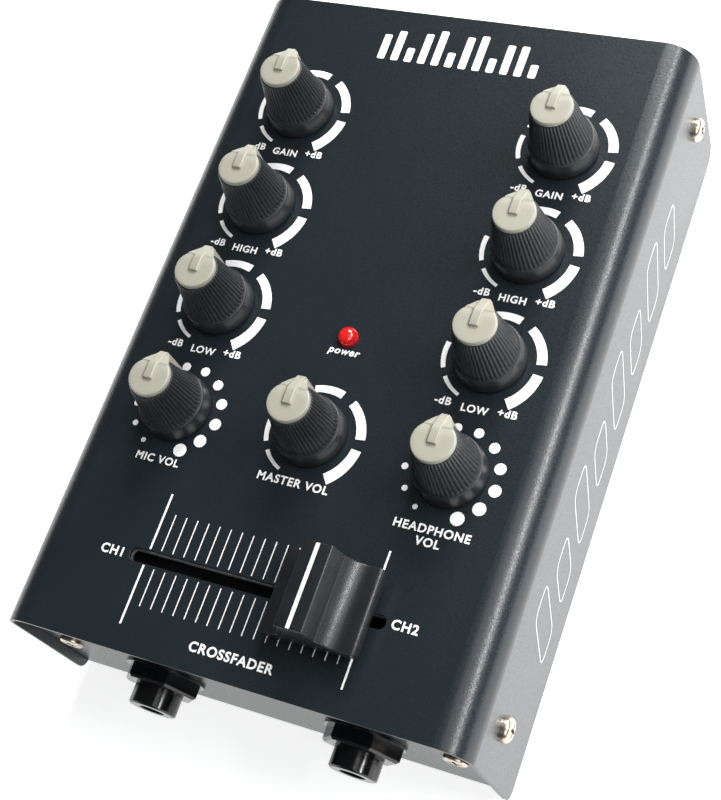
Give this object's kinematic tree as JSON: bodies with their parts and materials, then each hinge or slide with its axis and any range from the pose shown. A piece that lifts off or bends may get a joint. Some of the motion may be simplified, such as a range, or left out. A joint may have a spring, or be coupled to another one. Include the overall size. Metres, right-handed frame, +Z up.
{
  "type": "dj mixer",
  "caption": "Compact two-channel DJ mixer: folded steel case, rotary gain, tone and volume knobs, a crossfader, front jack sockets.",
  "frame": {"origin": "middle of the footprint, on the surface that the rubber feet stand on", "axes": "+X to the channel 2 side, +Y to the back, +Z up"},
  "size_m": [0.124, 0.1968, 0.0701],
  "materials": {
    "powder_coat_steel": "fine-textured powder coat",
    "zinc_plated_steel": "zinc plated",
    "nickel_screw": "nickel plated, satin",
    "rubber": "matte",
    "circuit_board": "green solder mask",
    "red_lens": "clear red, glowing",
    "black_plastic": "moulded",
    "knob_plastic": "moulded, satin",
    "cream_plastic": "moulded, satin",
    "fader_plastic": "moulded, satin gloss",
    "jack_plastic": "moulded, gloss",
    "shaft_aluminium": "turned",
    "phono_nickel": "nickel plated",
    "red_plastic": "moulded",
    "white_plastic": "moulded",
    "ribbon_grey": "flat cable",
    "white_ink": "screen-printed ink"
  },
  "bodies": {
    "case": {"top_cover": "powder_coat_steel", "front_panel": "powder_coat_steel", "base_tray": "powder_coat_steel", "corner_brackets": "zinc_plated_steel", "side_screws": "nickel_screw", "panel_screws": "nickel_screw", "rubber_feet": "rubber", "potentiometers": "zinc_plated_steel", "pot_nuts": "nickel_screw", "control_board": "circuit_board", "power_light": "red_lens", "power_light_legs": "nickel_screw", "fader_frame": "zinc_plated_steel", "fader_track": "black_plastic", "fader_rails": "zinc_plated_steel", "jack_washers": "jack_plastic", "jack_nuts": "jack_plastic", "mic_jack": "jack_plastic", "headphone_jack": "jack_plastic", "rear_board": "circuit_board", "board_standoffs": "zinc_plated_steel", "board_screws": "nickel_screw", "phono_blocks": "black_plastic", "phono_shells": "phono_nickel", "phono_inserts_red": "red_plastic", "phono_inserts_white": "white_plastic", "power_inlet": "black_plastic", "power_pin": "phono_nickel", "ribbon_headers": "black_plastic", "ribbon_cable": "ribbon_grey"},
    "crossfader": {"fader_carriage": "black_plastic", "fader_lever": "zinc_plated_steel", "fader_cap": "fader_plastic"},
    "control_ch1_gain": {"knob_ch1_gain": "knob_plastic", "pointer_cap_ch1_gain": "cream_plastic", "pot_shaft_ch1_gain": "shaft_aluminium"},
    "control_ch1_high": {"knob_ch1_high": "knob_plastic", "pointer_cap_ch1_high": "cream_plastic", "pot_shaft_ch1_high": "shaft_aluminium"},
    "control_ch1_low": {"knob_ch1_low": "knob_plastic", "pointer_cap_ch1_low": "cream_plastic", "pot_shaft_ch1_low": "shaft_aluminium"},
    "control_mic_volume": {"knob_mic_volume": "knob_plastic", "pointer_cap_mic_volume": "cream_plastic", "pot_shaft_mic_volume": "shaft_aluminium"},
    "control_master_volume": {"knob_master_volume": "knob_plastic", "pointer_cap_master_volume": "cream_plastic", "pot_shaft_master_volume": "shaft_aluminium"},
    "control_headphone_volume": {"knob_headphone_volume": "knob_plastic", "pointer_cap_headphone_volume": "cream_plastic", "pot_shaft_headphone_volume": "shaft_aluminium"},
    "control_ch2_low": {"knob_ch2_low": "knob_plastic", "pointer_cap_ch2_low": "cream_plastic", "pot_shaft_ch2_low": "shaft_aluminium"},
    "control_ch2_high": {"knob_ch2_high": "knob_plastic", "pointer_cap_ch2_high": "cream_plastic", "pot_shaft_ch2_high": "shaft_aluminium"},
    "control_ch2_gain": {"knob_ch2_gain": "knob_plastic", "pointer_cap_ch2_gain": "cream_plastic", "pot_shaft_ch2_gain": "shaft_aluminium"}
  },
  "joints": [
    {"name": "ch1_gain_turn", "type": "hinge", "parent": "case", "child": "control_ch1_gain", "pos_m": [-0.0361, 0.0569, 0.0505], "axis": [0, 0, 1], "range_deg": [-150, 150]},
    {"name": "ch1_high_turn", "type": "hinge", "parent": "case", "child": "control_ch1_high", "pos_m": [-0.0361, 0.0276, 0.0505], "axis": [0, 0, 1], "range_deg": [-150, 150]},
    {"name": "ch1_low_turn", "type": "hinge", "parent": "case", "child": "control_ch1_low", "pos_m": [-0.0361, -0.0017, 0.0505], "axis": [0, 0, 1], "range_deg": [-150, 150]},
    {"name": "mic_volume_turn", "type": "hinge", "parent": "case", "child": "control_mic_volume", "pos_m": [-0.0361, -0.031, 0.0505], "axis": [0, 0, 1], "range_deg": [-150, 150]},
    {"name": "master_volume_turn", "type": "hinge", "parent": "case", "child": "control_master_volume", "pos_m": [0, -0.0295, 0.0505], "axis": [0, 0, 1], "range_deg": [-150, 150]},
    {"name": "headphone_volume_turn", "type": "hinge", "parent": "case", "child": "control_headphone_volume", "pos_m": [0.0361, -0.031, 0.0505], "axis": [0, 0, 1], "range_deg": [-150, 150]},
    {"name": "ch2_low_turn", "type": "hinge", "parent": "case", "child": "control_ch2_low", "pos_m": [0.0361, -0.0017, 0.0505], "axis": [0, 0, 1], "range_deg": [-150, 150]},
    {"name": "ch2_high_turn", "type": "hinge", "parent": "case", "child": "control_ch2_high", "pos_m": [0.0361, 0.0276, 0.0505], "axis": [0, 0, 1], "range_deg": [-150, 150]},
    {"name": "ch2_gain_turn", "type": "hinge", "parent": "case", "child": "control_ch2_gain", "pos_m": [0.0361, 0.0569, 0.0505], "axis": [0, 0, 1], "range_deg": [-150, 150]},
    {"name": "crossfader_slide", "type": "slide", "parent": "case", "child": "crossfader", "axis": [1, 0, 0], "range_m": [-0.0487, 0.0113]}
  ]
}
